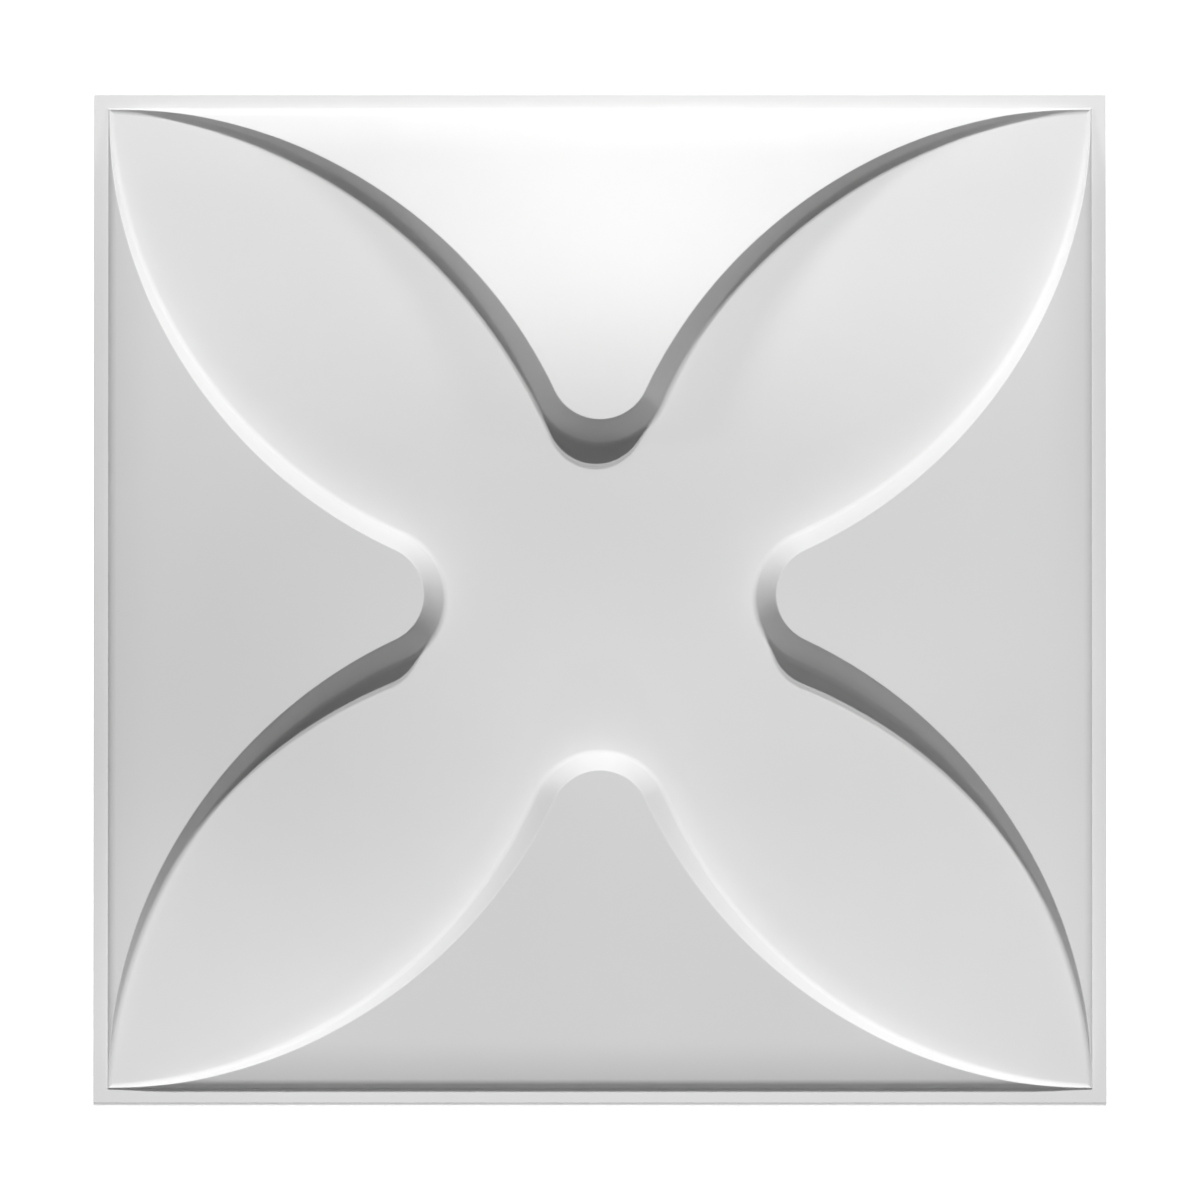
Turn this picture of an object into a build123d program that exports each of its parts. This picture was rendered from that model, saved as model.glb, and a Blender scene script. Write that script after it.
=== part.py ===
from build123d import *
import math
import os

os.makedirs("parts", exist_ok=True)

# Driving dimensions in millimetres and degrees
panel_side = 500.0
sheet = 1.0
depth = 22.0
flange_width = 7.0

# Petal walls, swung from the middle of each side of the panel
tail_width = 1.0
tip_radius = 31.5
wall_draft = 20.5
foot_radius = 5.0

# Pad face, seen in section square to the border
rim_height = 3.8
rim_draft = 22.0
rim_edge_radius = 6.5
shoulder_slope = 20.0
shoulder_radius = 100.0
crown_radius = 1500.0

# Values that follow from the driving dimensions
half = panel_side / 2
field_half = half - flange_width
side_radius = field_half - tail_width
draft = math.radians(wall_draft)
rim = math.radians(rim_draft)
slope = math.radians(shoulder_slope)
tall = depth + 12.0
reach = half + 12.0
far = reach + 60.0
tip_axis = math.sqrt((side_radius + tip_radius) ** 2 - half ** 2)
tip_edge = tip_axis - tip_radius + (depth - sheet) * math.tan(draft)
touch = math.degrees(math.atan2(tip_axis, half))
foot_turn = math.pi / 2 - draft
bevel = math.tan(foot_turn / 2) - math.tan(foot_turn / 4)

# Centre of the shoulder arc, which starts at the top of the rim
arc_y = field_half - rim_height * math.tan(rim) - shoulder_radius * math.sin(slope)
arc_z = sheet + rim_height - shoulder_radius * math.cos(slope)

# Centre of the crown arc, which touches the shoulder arc and ends at the tip at full depth
to_tip = math.hypot(tip_edge - arc_y, depth - arc_z)
centre_gap = crown_radius - shoulder_radius
lean = (crown_radius ** 2 - centre_gap ** 2 - to_tip ** 2) / (2 * centre_gap * to_tip)
join = math.atan2(tip_edge - arc_y, depth - arc_z) + math.acos(lean)
crown_y = arc_y - centre_gap * math.sin(join)
crown_z = arc_z - centre_gap * math.cos(join)
join_angle = 90 - math.degrees(join)


def pad_quarter(inset):
    # One face of the sheet over a quarter of the panel, moved inward by inset
    base = sheet - inset
    top = base + tall
    wall_in = inset * (1 - math.sin(draft)) / math.cos(draft)
    r_side = side_radius + wall_in
    r_tip = tip_radius - wall_in

    # Rim wall from the flange up to the shoulder arc
    r_arc = shoulder_radius - inset
    rim_y = field_half - inset * (1 - math.sin(rim)) / math.cos(rim)
    across = (arc_y - rim_y) * math.sin(rim) + (base - arc_z) * math.cos(rim)
    off_line = (rim_y - arc_y) * math.cos(rim) + (base - arc_z) * math.sin(rim)
    rim_length = math.sqrt(r_arc ** 2 - off_line ** 2) - across
    crest_y = rim_y - rim_length * math.sin(rim)
    crest_z = base + rim_length * math.cos(rim)
    crest_angle = math.degrees(math.atan2(crest_z - arc_z, crest_y - arc_y))

    with BuildPart() as quarter:
        # Tall drafted pad: two side arcs joined by the tip arc
        with BuildSketch(Plane.XY.offset(base)):
            with BuildLine():
                side = CenterArc((-half, 0), r_side, 90, touch - 90)
                CenterArc((0, tip_axis), r_tip, 180 + touch, 180 - 2 * touch)
                mirror(side, about=Plane.YZ)
                Polyline((-half, r_side), (-far, r_side), (-far, far), (far, far), (far, r_side), (half, r_side))
            make_face()
        extrude(amount=tall, taper=wall_draft)
        # Floor below the pad
        with BuildSketch(Plane.XY.offset(base)):
            Rectangle(2 * far, 2 * far)
        extrude(amount=-sheet)
        with BuildSketch(Plane.XY.offset(base - sheet)):
            with Locations((0, reach / 2)):
                Rectangle(2 * reach, reach)
        extrude(amount=sheet + tall, mode=Mode.INTERSECT)
        # Where the wall meets the floor: rounded on the front, a bevel that touches that rounding on the back
        foot = quarter.edges().filter_by_position(Axis.Z, base, base).filter_by(GeomType.CIRCLE)
        if inset == 0:
            fillet(foot, radius=foot_radius)
        else:
            chamfer(foot, length=(foot_radius + inset) * bevel)
        # Crown, shoulder and rim wall, cut along the whole border
        with BuildSketch(Plane.YZ) as above:
            with BuildLine():
                shoulder = CenterArc((arc_y, arc_z), r_arc, crest_angle, join_angle - crest_angle)
                crown = CenterArc((crown_y, crown_z), crown_radius - inset, join_angle, 180 - 2 * join_angle)
                Polyline(crown @ 1, (-far, (crown @ 1).Y), (-far, 2 * top), (far, 2 * top), (far, base),
                         (rim_y, base), shoulder @ 0)
            make_face()
            crest = above.vertices().sort_by_distance((crest_y, crest_z))[0]
            fillet(crest, radius=rim_edge_radius - inset)
        extrude(amount=far, both=True, mode=Mode.SUBTRACT)
        # Quarter of the panel, cut on its two diagonals
        with BuildSketch(Plane.XY.offset(base - sheet)):
            with BuildLine():
                Polyline((0, 0), (half, half), (-half, half), (0, 0))
            make_face()
        extrude(amount=sheet + tall, mode=Mode.INTERSECT)
    return quarter.part


front = pad_quarter(0)
back = pad_quarter(sheet)

# The formed sheet: four pads round the centre, hollow from behind
with BuildPart() as wall_panel:
    with PolarLocations(0, 4):
        add(front)
    with PolarLocations(0, 4):
        add(back, mode=Mode.SUBTRACT)
wall_panel.part.label = "wall_panel"
export_step(wall_panel.part, "parts/wall_panel.step")
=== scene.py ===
import math

import bpy
import numpy as np
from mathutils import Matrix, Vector


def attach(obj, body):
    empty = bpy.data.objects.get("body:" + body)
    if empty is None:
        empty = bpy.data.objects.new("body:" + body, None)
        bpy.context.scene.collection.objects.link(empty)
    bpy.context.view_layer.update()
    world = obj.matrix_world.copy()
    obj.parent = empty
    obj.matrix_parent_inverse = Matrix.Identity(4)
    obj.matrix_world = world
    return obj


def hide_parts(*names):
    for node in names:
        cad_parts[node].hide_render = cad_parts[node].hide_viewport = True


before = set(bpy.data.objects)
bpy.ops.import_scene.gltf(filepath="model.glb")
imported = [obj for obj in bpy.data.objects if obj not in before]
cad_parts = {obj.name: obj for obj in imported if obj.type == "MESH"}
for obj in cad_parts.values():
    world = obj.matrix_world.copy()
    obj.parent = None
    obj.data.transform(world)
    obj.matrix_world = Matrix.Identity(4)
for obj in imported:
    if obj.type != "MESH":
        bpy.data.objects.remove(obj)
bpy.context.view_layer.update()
scene = bpy.context.scene

MM_PER_METRE = 1000

# Sizes of the panel in millimetres: half its side, sheet, depth, and half the field inside the flange
HALF = 250.0
SHEET = 1.0
DEPTH = 22.0
FIELD = 243.0

# Petal walls, closer to the photograph than the solid's, with side arcs centred SWING from the middle
SWING = 253.6
SIDE_RADIUS = 242.6
TIP_RADIUS = 34.2
WALL_DRAFT = math.radians(25.5)
FOOT_RADIUS = 3.5

# Pad face, seen in section square to the border
RIM_HEIGHT = 3.8
RIM_DRAFT = math.radians(22.0)
RIM_EDGE_RADIUS = 6.5
SHOULDER_SLOPE = math.radians(20.0)
SHOULDER_RADIUS = 100.0
CROWN_RADIUS = 1500.0

# Rounding of the lip where a wall meets the pad face, on the front and on the back, and of the cut edge
LIP_FRONT = 1.0
LIP_BACK = 0.5
CUT_EDGE = 0.25
CUT_TURNS = (math.pi / 4, math.pi / 2)

# Rows of points: one on the floor just off the foot, then steps over the foot, the wall and the lip
FLOOR_ROW = 1.0
FRONT_STEPS = (9, 5, 9)
BACK_STEPS = (6, 3, 4)

# Rows of points on the pad, by distance in from the rim
FRONT_LEVELS = [132, 116, 100, 84, 70, 57, 46, 37, 29, 23, 18, 14, 11, 8.5, 6.5, 5.2, 4.4, 3.8, 3.2, 2.7,
                2.2, 1.8, 1.4, 1.0, 0.7, 0.45, 0.12, -0.12, -3.5]
BACK_LEVELS = [120, 90, 64, 46, 32, 22, 14, 8.5, 5.5, 4.2, 3.3, 2.5, 1.8, 1.2, 0.7, 0.35, 0.1, -0.1]

# Columns of points over half a quarter: zones by end and step, steps to the corner and the tail, the flange
INNER_ZONES = [(34.0, 1.1), (120.0, 2.2), (200.0, 2.8)]
CORNER_STEP = 3.0
TAIL_STEP = 0.6
FLANGE_COLUMNS = [244.0, 246.5, 249.0, 249.72, HALF]

# Fineness of the normals, of the search for the lip and of the test for shared points
NORMAL_STEP = 0.02
HALVINGS = 40
POINT_DIGITS = 4
TINY = 1e-6

# White PVC: tint and roughness each between two values, and noises by scale, detail and roughness
PVC_IOR = 1.53
PVC_TINT = (0.742, 0.758)
PVC_ROUGHNESS = (0.62, 0.70)
NOISE_BAND = (0.3, 0.7)
TINT_NOISE = (9.0, 3.0, 0.5)
GLOSS_NOISE = (38.0, 4.0, 0.55)
GRAIN_NOISE = (2200.0, 2.0, 0.5)
GRAIN_STRENGTH = 0.12
GRAIN_DEPTH = 0.00004

# Floor in metres, its white, and the light it adds where it is seen
FLOOR_HALF = 4.0
FLOOR_GAP = 0.0003
FLOOR_WHITE = 0.9
FLOOR_ROUGHNESS = 0.9
FLOOR_LIFT = 0.5
WHITE = (1, 1, 1, 1)

# Lamps: suns by elevation, azimuth and strength, and soft boxes by place, aim, size, spread and watts
SUNS = {"key_high": (45.8, 5.5, 1.85), "key_low": (42.2, 5.5, 1.23), "front_fill": (20.0, 180.0, 0.12)}
SUN_ANGLE = 0.7
SUN_PLACE = (0, 0, 1)
BOXES = {"top_box": ((0.0, 0.33, 0.24), (0.0, 0.33, 0.0), (0.70, 0.15), 180, 0.18),
         "top_row": ((0.0, 0.245, 0.30), (0.0, 0.245, 0.0), (0.60, 0.02), 20, 0.008),
         "top_key": ((0.06, 1.01, 0.82), (0.0, 0.15, 0.0), (0.05, 0.05), 14, 0.0040),
         "bottom_inner": ((0.0, -0.02, 0.45), (0.0, -0.25, 0.0), (0.60, 0.05), 40, 0.062),
         "right_inner": ((0.02, -0.05, 0.45), (0.25, -0.05, 0.0), (0.05, 0.60), 40, 0.03),
         "left_corner": ((0.45, 0.22, 0.25), (-0.245, 0.17, 0.0), (0.10, 0.10), 25, 0.030),
         "right_corner": ((-0.45, 0.22, 0.25), (0.245, 0.17, 0.0), (0.10, 0.10), 25, 0.050)}
SKY = 0.03

# View: tilt in degrees, lengths in metres, film in millimetres, and the panel's side in the picture
VIEW_TILT = math.radians(5.0)
VIEW_DISTANCE = 24.0
VIEW_AIM = Vector((0, -0.0008, 0.001))
VIEW_END = 100.0
FILM_WIDTH = 36.0
IMAGE_PIXELS = 1200
PANEL_PIXELS = 1012.3

# Centres that the arcs share
TIP_AXIS = math.sqrt((SIDE_RADIUS + TIP_RADIUS) ** 2 - SWING ** 2)
TIP_EDGE = TIP_AXIS - TIP_RADIUS + (DEPTH - SHEET) * math.tan(WALL_DRAFT)
TOUCH = math.atan2(TIP_AXIS, SWING)
ARC_Y = FIELD - RIM_HEIGHT * math.tan(RIM_DRAFT) - SHOULDER_RADIUS * math.sin(SHOULDER_SLOPE)
ARC_Z = SHEET + RIM_HEIGHT - SHOULDER_RADIUS * math.cos(SHOULDER_SLOPE)
TO_TIP = math.hypot(TIP_EDGE - ARC_Y, DEPTH - ARC_Z)
GAP = CROWN_RADIUS - SHOULDER_RADIUS
LEAN = (CROWN_RADIUS ** 2 - GAP ** 2 - TO_TIP ** 2) / (2 * GAP * TO_TIP)
JOIN = math.atan2(TIP_EDGE - ARC_Y, DEPTH - ARC_Z) + math.acos(LEAN)
CROWN_Y = ARC_Y - GAP * math.sin(JOIN)
CROWN_Z = ARC_Z - GAP * math.cos(JOIN)


class Face:
    # One face of the sheet over the top quarter of the panel, moved inward by inset

    def __init__(self, inset, lip):
        self.lip = lip
        self.base = SHEET - inset
        wall_in = inset * (1 - math.sin(WALL_DRAFT)) / math.cos(WALL_DRAFT)
        self.side = SIDE_RADIUS + wall_in
        self.tip = TIP_RADIUS - wall_in
        self.foot = FOOT_RADIUS + inset
        self.foot_start = -self.foot * math.tan((math.pi / 2 - WALL_DRAFT) / 2)
        self.wall_start = self.foot_start + self.foot * math.cos(WALL_DRAFT)
        self.rim_y = FIELD - inset * (1 - math.sin(RIM_DRAFT)) / math.cos(RIM_DRAFT)
        self.arc = SHOULDER_RADIUS - inset
        self.crown = CROWN_RADIUS - inset
        self.edge = RIM_EDGE_RADIUS - inset
        # Centre of the rim edge, inside the rim wall and inside the shoulder arc
        start_y = self.rim_y - self.edge * math.cos(RIM_DRAFT) - ARC_Y
        start_z = self.base - self.edge * math.sin(RIM_DRAFT) - ARC_Z
        along = -start_y * math.sin(RIM_DRAFT) + start_z * math.cos(RIM_DRAFT)
        apart = (self.arc - self.edge) ** 2 - start_y ** 2 - start_z ** 2
        step = -along + math.sqrt(along ** 2 + apart)
        self.edge_y = ARC_Y + start_y - step * math.sin(RIM_DRAFT)
        self.edge_z = ARC_Z + start_z + step * math.cos(RIM_DRAFT)
        self.edge_low = self.edge_y + self.edge * math.cos(RIM_DRAFT)
        lean = math.atan2(self.edge_y - ARC_Y, self.edge_z - ARC_Z)
        self.edge_high = ARC_Y + self.arc * math.sin(lean)
        self.join_y = ARC_Y + self.arc * math.sin(JOIN)

    def wall(self, x, y):
        # Height of the wall and its foot blend over the floor of the cross
        reach = np.hypot(x, y - TIP_AXIS)
        in_tip = (np.abs(x) <= reach * math.cos(TOUCH)) & (y < TIP_AXIS)
        inside = np.where(in_tip, self.tip - reach, np.hypot(SWING - np.abs(x), y) - self.side)
        bend = np.clip(inside - self.foot_start, 0, self.foot * math.cos(WALL_DRAFT))
        blend = self.foot - np.sqrt(self.foot ** 2 - bend ** 2)
        return blend + np.maximum(inside - self.wall_start, 0) / math.tan(WALL_DRAFT)

    def pad(self, y):
        # Height of the rim wall, its rounded edge, the shoulder and the crown
        def bow(radius, cy, cz):
            return cz + np.sqrt(np.maximum(radius ** 2 - (y - cy) ** 2, 0)) - self.base
        zones = [y >= self.rim_y, y >= self.edge_low, y >= self.edge_high, y >= self.join_y]
        heights = [np.zeros_like(y), (self.rim_y - y) / math.tan(RIM_DRAFT),
                   bow(self.edge, self.edge_y, self.edge_z), bow(self.arc, ARC_Y, ARC_Z)]
        return np.select(zones, heights, bow(self.crown, CROWN_Y, CROWN_Z))

    def height(self, x, y):
        # The lower of wall and pad, rounded where they cross
        wall = self.wall(x, y)
        pad = self.pad(y)
        near = np.maximum(self.lip - np.abs(wall - pad), 0) / self.lip
        return self.base + np.maximum(np.minimum(wall, pad) - near ** 2 * self.lip / 4, 0)

    def normal(self, x, y):
        e = NORMAL_STEP
        dx = (self.height(x + e, y) - self.height(x - e, y)) / (2 * e)
        dy = (self.height(x, y + e) - self.height(x, y - e)) / (2 * e)
        n = np.stack([-dx, -dy, np.ones_like(dx)], -1)
        return n / np.linalg.norm(n, axis=-1, keepdims=True)

    def line_at(self, x, inside):
        # Place along y where the column at x is that far inside the foot line
        if x <= (self.tip - inside) * math.cos(TOUCH):
            return TIP_AXIS - math.sqrt((self.tip - inside) ** 2 - x * x)
        return math.sqrt(max((self.side + inside) ** 2 - (SWING - x) ** 2, 0))

    def cross(self, x, low, lead):
        # Place along y where the wall rises past the pad by lead
        high = FIELD
        if self.wall(x, np.array(low)) - self.pad(np.array(low)) >= lead:
            return low
        for _ in range(HALVINGS):
            mid = np.array((low + high) / 2)
            if self.wall(x, mid) - self.pad(mid) < lead:
                low = float(mid)
            else:
                high = float(mid)
        return low

    def column(self, x, foot_steps, wall_steps, lip_steps, levels):
        # Places along y of one column of points, from the floor of the cross to the flange
        ring = self.line_at(x, self.foot_start - FLOOR_ROW)
        start = max(ring, x)
        lip_low = self.cross(x, start, -self.lip)
        lip_high = self.cross(x, start, self.lip)
        turns = [(math.pi / 2 - WALL_DRAFT) * k / foot_steps for k in range(foot_steps + 1)]
        ys = [ring] + [self.line_at(x, self.foot_start + self.foot * math.sin(t)) for t in turns]
        ys = [min(y, lip_low) for y in ys]
        low = max(ys[-1], start)
        ys += [low + (lip_low - low) * k / wall_steps for k in range(1, wall_steps)]
        ys += [lip_low + (lip_high - lip_low) * k / lip_steps for k in range(lip_steps + 1)]
        ys += [max(self.rim_y - d, lip_high) for d in levels]
        return [max(y, start) for y in ys + [HALF - CUT_EDGE]]


front = Face(0.0, LIP_FRONT)
back = Face(SHEET, LIP_BACK)


def spread(low, high, step):
    # Even places from low up to high, without high itself
    count = math.ceil((high - low) / step)
    return [low + (high - low) * k / count for k in range(count)]


# Columns across a quarter, closer together round the tip and at the tails
ring_radius = SIDE_RADIUS + front.foot_start - FLOOR_ROW
corner = (SWING + math.sqrt(2 * ring_radius ** 2 - SWING ** 2)) / 2
zones = INNER_ZONES + [(corner, CORNER_STEP), (FLANGE_COLUMNS[0], TAIL_STEP)]
right = []
zone_start = 0.0
for zone_end, step in zones:
    right += spread(zone_start, zone_end, step)
    zone_start = zone_end
right += FLANGE_COLUMNS
columns = [-x for x in reversed(right[1:])] + right

points = []
normals = []
faces = []
seen = {}


def place(turn, x, y, z, n):
    # Index of a point, turned to its quarter and shared where quarters meet
    for _ in range(turn):
        x, y, n = -y, x, (-n[1], n[0], n[2])
    key = (round(x, POINT_DIGITS), round(y, POINT_DIGITS), round(z, POINT_DIGITS))
    if key not in seen:
        seen[key] = len(points)
        points.append((x / MM_PER_METRE, y / MM_PER_METRE, z / MM_PER_METRE))
        normals.append(Vector((0, 0, 0)))
    normals[seen[key]] += Vector(n)
    return seen[key]


def add_face(ids):
    # A face without the points that fall together, left out where fewer than three remain
    ring = [v for k, v in enumerate(ids) if v != ids[k - 1]]
    if len(ring) >= 3:
        faces.append(ring)


def half_sheet(face, up, steps, levels):
    # One face of the sheet in four quarters, with the rounded rows of the cut edge after the flange
    made = {x: face.column(x, *steps, levels) for x in right}
    grid_y = np.array([made[abs(x)] for x in columns])
    grid_x = np.repeat(np.array(columns)[:, None], grid_y.shape[1], axis=1)
    grid_z = face.height(grid_x, grid_y)
    grid_n = face.normal(grid_x, grid_y) * up
    quarters = []
    for turn in range(4):
        rows = []
        for x, ys, zs, ns in zip(columns, grid_y, grid_z, grid_n):
            ids = [place(turn, x, y, z, n) for y, z, n in zip(ys, zs, ns)]
            for lean in CUT_TURNS:
                y = max(HALF - CUT_EDGE + CUT_EDGE * math.sin(lean), abs(x))
                z = face.base - up * CUT_EDGE * (1 - math.cos(lean))
                ids.append(place(turn, x, y, z, (0, math.sin(lean), up * math.cos(lean))))
            rows.append(ids)
        for a, b in zip(rows, rows[1:]):
            for j in range(len(a) - 1):
                add_face([a[j], b[j], b[j + 1], a[j + 1]][::up])
        quarters.append(rows)
    # Flat floor of the cross, one face inside the first row of the four quarters
    inner = [i for i, x in enumerate(columns) if -corner - TINY < x < corner - TINY]
    faces.append([rows[i][0] for rows in reversed(quarters) for i in inner][::-up])
    return quarters


# Front, back and the strip between them along the cut edge
top_quarters = half_sheet(front, 1, FRONT_STEPS, FRONT_LEVELS)
under_quarters = half_sheet(back, -1, BACK_STEPS, BACK_LEVELS)
for top_rows, under_rows in zip(top_quarters, under_quarters):
    for k in range(len(columns) - 1):
        add_face([top_rows[k][-1], top_rows[k + 1][-1], under_rows[k + 1][-1], under_rows[k][-1]])

mesh = bpy.data.meshes.new("formed_sheet")
mesh.from_pydata(points, [], faces)
mesh.polygons.foreach_set("use_smooth", [True] * len(mesh.polygons))
mesh.normals_split_custom_set_from_vertices([n.normalized() for n in normals])
sheet = bpy.data.objects.new("formed_sheet", mesh)
scene.collection.objects.link(sheet)
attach(sheet, "root")
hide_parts("wall_panel")


def white_pvc():
    # Satin white PVC with a faint calender grain and uneven gloss
    mat = bpy.data.materials.new("white_pvc_satin")
    mat.use_nodes = True
    nodes = mat.node_tree.nodes
    links = mat.node_tree.links
    bsdf = nodes["Principled BSDF"]
    bsdf.inputs["IOR"].default_value = PVC_IOR
    where = nodes.new("ShaderNodeTexCoord")

    def noise(scale, detail, roughness):
        n = nodes.new("ShaderNodeTexNoise")
        n.inputs["Scale"].default_value = scale
        n.inputs["Detail"].default_value = detail
        n.inputs["Roughness"].default_value = roughness
        links.new(where.outputs["Object"], n.inputs["Vector"])
        return n.outputs["Fac"]

    def between(source, values):
        # Grey that goes from the first value to the second over the middle band of the noise
        r = nodes.new("ShaderNodeValToRGB")
        for element, position, value in zip(r.color_ramp.elements, NOISE_BAND, values):
            element.position = position
            element.color = (value, value, value, 1)
        links.new(source, r.inputs["Fac"])
        return r.outputs["Color"]

    links.new(between(noise(*TINT_NOISE), PVC_TINT), bsdf.inputs["Base Color"])
    links.new(between(noise(*GLOSS_NOISE), PVC_ROUGHNESS), bsdf.inputs["Roughness"])
    bump = nodes.new("ShaderNodeBump")
    bump.inputs["Strength"].default_value = GRAIN_STRENGTH
    bump.inputs["Distance"].default_value = GRAIN_DEPTH
    links.new(noise(*GRAIN_NOISE), bump.inputs["Height"])
    links.new(bump.outputs["Normal"], bsdf.inputs["Normal"])
    return mat


mesh.materials.append(white_pvc())


def seen_directly(tree):
    # One for rays that show the background to the camera, a gloss or a clear piece
    path = tree.nodes.new("ShaderNodeLightPath")
    first = tree.nodes.new("ShaderNodeMath")
    first.operation = "MAXIMUM"
    second = tree.nodes.new("ShaderNodeMath")
    second.operation = "MAXIMUM"
    tree.links.new(path.outputs["Is Camera Ray"], first.inputs[0])
    tree.links.new(path.outputs["Is Glossy Ray"], first.inputs[1])
    tree.links.new(first.outputs[0], second.inputs[0])
    tree.links.new(path.outputs["Is Transmission Ray"], second.inputs[1])
    return second.outputs[0]


# Floor, white to the camera where it is lit, and darker in the panel's shadow
floor_mesh = bpy.data.meshes.new("floor")
floor_corners = [(x * FLOOR_HALF, y * FLOOR_HALF, 0) for x, y in ((-1, -1), (1, -1), (1, 1), (-1, 1))]
floor_mesh.from_pydata(floor_corners, [], [(0, 1, 2, 3)])
floor = bpy.data.objects.new("floor", floor_mesh)
floor.location.z = -FLOOR_GAP
scene.collection.objects.link(floor)
floor_mat = bpy.data.materials.new("floor_white")
floor_mat.use_nodes = True
tree = floor_mat.node_tree
paint = tree.nodes["Principled BSDF"].inputs
paint["Base Color"].default_value = (FLOOR_WHITE, FLOOR_WHITE, FLOOR_WHITE, 1)
paint["Roughness"].default_value = FLOOR_ROUGHNESS
paint["Emission Color"].default_value = WHITE
lift = tree.nodes.new("ShaderNodeMath")
lift.operation = "MULTIPLY"
lift.inputs[1].default_value = FLOOR_LIFT
tree.links.new(seen_directly(tree), lift.inputs[0])
tree.links.new(lift.outputs[0], paint["Emission Strength"])
floor_mesh.materials.append(floor_mat)

# World: soft grey fill, white where it is seen
world = bpy.data.worlds.new("studio")
scene.world = world
world.use_nodes = True
tree = world.node_tree
fill = tree.nodes["Background"]
fill.inputs["Color"].default_value = WHITE
fill.inputs["Strength"].default_value = SKY
shown = tree.nodes.new("ShaderNodeBackground")
shown.inputs["Color"].default_value = WHITE
shown.inputs["Strength"].default_value = 1.0
mix = tree.nodes.new("ShaderNodeMixShader")
tree.links.new(seen_directly(tree), mix.inputs[0])
tree.links.new(fill.outputs[0], mix.inputs[1])
tree.links.new(shown.outputs[0], mix.inputs[2])
tree.links.new(mix.outputs[0], tree.nodes["World Output"].inputs["Surface"])


def toward(elevation, azimuth):
    # Direction of a lamp: azimuth is turned from the top of the picture to its right
    e = math.radians(elevation)
    a = math.radians(azimuth)
    return Vector((math.cos(e) * math.sin(a), math.cos(e) * math.cos(a), math.sin(e)))


def add_lamp(light, stand, direction):
    lamp = bpy.data.objects.new(light.name, light)
    lamp.location = stand
    lamp.rotation_euler = direction.to_track_quat("Z", "Y").to_euler()
    scene.collection.objects.link(lamp)


# Two suns close together make the double edge of the shadows, and a weak one fills them from the front
for name, (elevation, azimuth, strength) in SUNS.items():
    sun = bpy.data.lights.new(name, "SUN")
    sun.energy = strength
    sun.angle = math.radians(SUN_ANGLE)
    add_lamp(sun, SUN_PLACE, toward(elevation, azimuth))

# Soft boxes brighten the top pad, the lower and right borders, and the upper corners
for name, (stand, aimed, size, spread_angle, watts) in BOXES.items():
    box = bpy.data.lights.new(name, "AREA")
    box.shape = "RECTANGLE"
    box.size, box.size_y = size
    box.spread = math.radians(spread_angle)
    box.energy = watts
    add_lamp(box, stand, Vector(stand) - Vector(aimed))

# Camera high above the panel, leaning a little to its lower edge, with the side as wide as in the photograph
camera = bpy.data.cameras.new("camera")
camera.sensor_width = FILM_WIDTH
camera.sensor_fit = "HORIZONTAL"
picture_width = 2 * HALF / MM_PER_METRE * IMAGE_PIXELS / PANEL_PIXELS
camera.lens = FILM_WIDTH * VIEW_DISTANCE / picture_width
camera.clip_end = VIEW_END
view = bpy.data.objects.new("camera", camera)
view.location = VIEW_AIM + VIEW_DISTANCE * Vector((0, -math.sin(VIEW_TILT), math.cos(VIEW_TILT)))
view.rotation_euler = (VIEW_TILT, 0, 0)
scene.collection.objects.link(view)
scene.camera = view

scene.view_settings.view_transform = "Standard"
